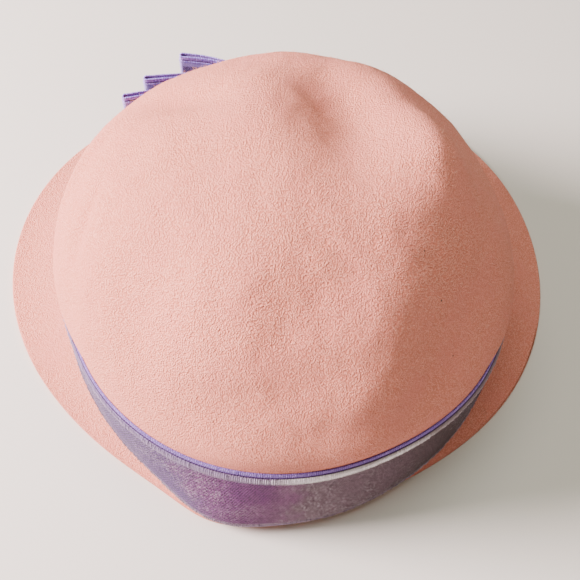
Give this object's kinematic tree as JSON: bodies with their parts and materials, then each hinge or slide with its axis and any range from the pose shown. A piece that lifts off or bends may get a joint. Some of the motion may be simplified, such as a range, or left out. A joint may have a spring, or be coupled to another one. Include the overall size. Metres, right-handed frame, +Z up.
{
  "type": "cloche hat",
  "caption": "Soft felt cloche hat with a dented dome crown, a brim that narrows away to the back, a velvet ribbon band and a flat looped bow.",
  "frame": {"origin": "centre of the bounding box on the surface that the brim rests on", "axes": "+Z up, -Y towards the front of the hat, +X towards the wearer's left"},
  "size_m": [0.2458, 0.2502, 0.1231],
  "materials": {
    "felt": "soft short nap, matt",
    "velvet_ribbon": "short velvet pile, matt with a sheen"
  },
  "bodies": {
    "root": {"felt_body": "felt", "ribbon_band": "velvet_ribbon", "bow_loop_long": "velvet_ribbon", "bow_loop_middle": "velvet_ribbon", "bow_loop_short": "velvet_ribbon", "bow_knot": "velvet_ribbon"}
  },
  "joints": []
}
